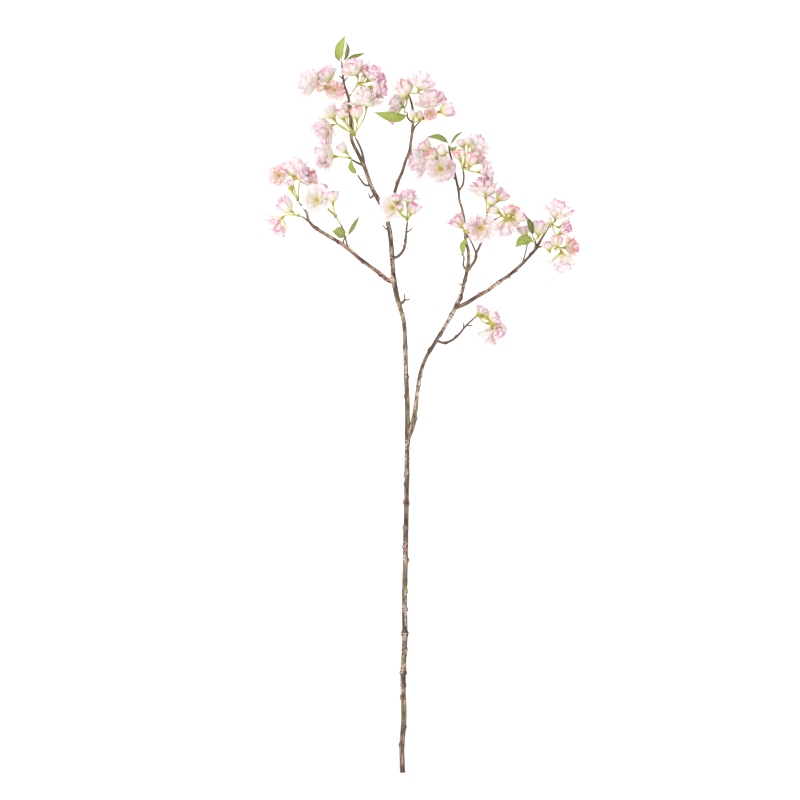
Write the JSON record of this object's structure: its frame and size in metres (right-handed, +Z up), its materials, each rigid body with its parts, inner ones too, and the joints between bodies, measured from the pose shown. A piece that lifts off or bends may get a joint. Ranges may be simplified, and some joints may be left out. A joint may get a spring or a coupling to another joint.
{
  "type": "cherry blossom sprig",
  "caption": "Cut sprig of double-flowered cherry, laid on its side: a long bare stem that forks into thin branches with clusters of pale pink blossoms, buds and young leaves.",
  "frame": {"origin": "middle of the sprig's footprint, on the surface it lies on", "axes": "+Y along the stem from the cut end to the blossoms, +X towards the longer right-hand limb, +Z up from the surface"},
  "size_m": [0.4736, 1.1072, 0.0815],
  "materials": {
    "bark": "rough grey-brown bark with raised cross ridges and green patches",
    "stalk": "smooth yellow-green skin",
    "petal": "soft matt, white at the base and pink at the margin",
    "leaf": "satin green with paler veins and a red-brown tip"
  },
  "bodies": {
    "root": {"corolla_far_right_lower_drooping": "petal", "corolla_far_right_tip_fan": "petal", "corolla_left_inner_front": "petal", "corolla_left_lower_drooping": "petal", "corolla_left_spur_open": "petal", "corolla_left_tip_fan": "petal", "corolla_lower_right_drooping": "petal", "corolla_middle_front": "petal", "corolla_right_cluster_drooping": "petal", "corolla_right_crown_left_front": "petal", "corolla_right_crown_left_outer": "petal", "corolla_right_front_open": "petal", "corolla_right_upper_fan": "petal", "corolla_top_left_front": "petal", "corolla_top_left_outer": "petal", "corolla_top_right_upper": "petal", "corolla_upper_middle_fan": "petal", "corolla_upper_middle_outer": "petal", "corolla_upper_right_tip_fan": "petal", "corolla_upper_right_tip_left": "petal", "front_shoot": "bark", "leaf_far_right_broad": "leaf", "leaf_far_right_dark": "leaf", "leaf_left_broad": "leaf", "leaf_left_narrow": "leaf", "leaf_left_spur": "leaf", "leaf_right_crown": "leaf", "leaf_right_inner": "leaf", "leaf_top_dark": "leaf", "leaf_top_large": "leaf", "leaf_top_left": "leaf", "leaf_top_right": "leaf", "leaf_upper_right": "leaf", "left_branch": "bark", "lower_right_shoot": "bark", "main_stem": "bark", "middle_shoot": "bark", "right_limb": "bark", "right_side_branch": "bark", "stalks_far_right_inner": "stalk", "stalks_far_right_lower": "stalk", "stalks_far_right_tip": "stalk", "stalks_left_inner": "stalk", "stalks_left_lower": "stalk", "stalks_left_spur": "stalk", "stalks_left_tip": "stalk", "stalks_lower_right": "stalk", "stalks_middle": "stalk", "stalks_right_cluster": "stalk", "stalks_right_crown": "stalk", "stalks_right_crown_left": "stalk", "stalks_right_front": "stalk", "stalks_right_inner": "stalk", "stalks_right_upper": "stalk", "stalks_top_left": "stalk", "stalks_top_right": "stalk", "stalks_upper_middle": "stalk", "stalks_upper_right_side": "stalk", "stalks_upper_right_tip": "stalk", "upper_right_branch": "bark"}
  },
  "joints": []
}
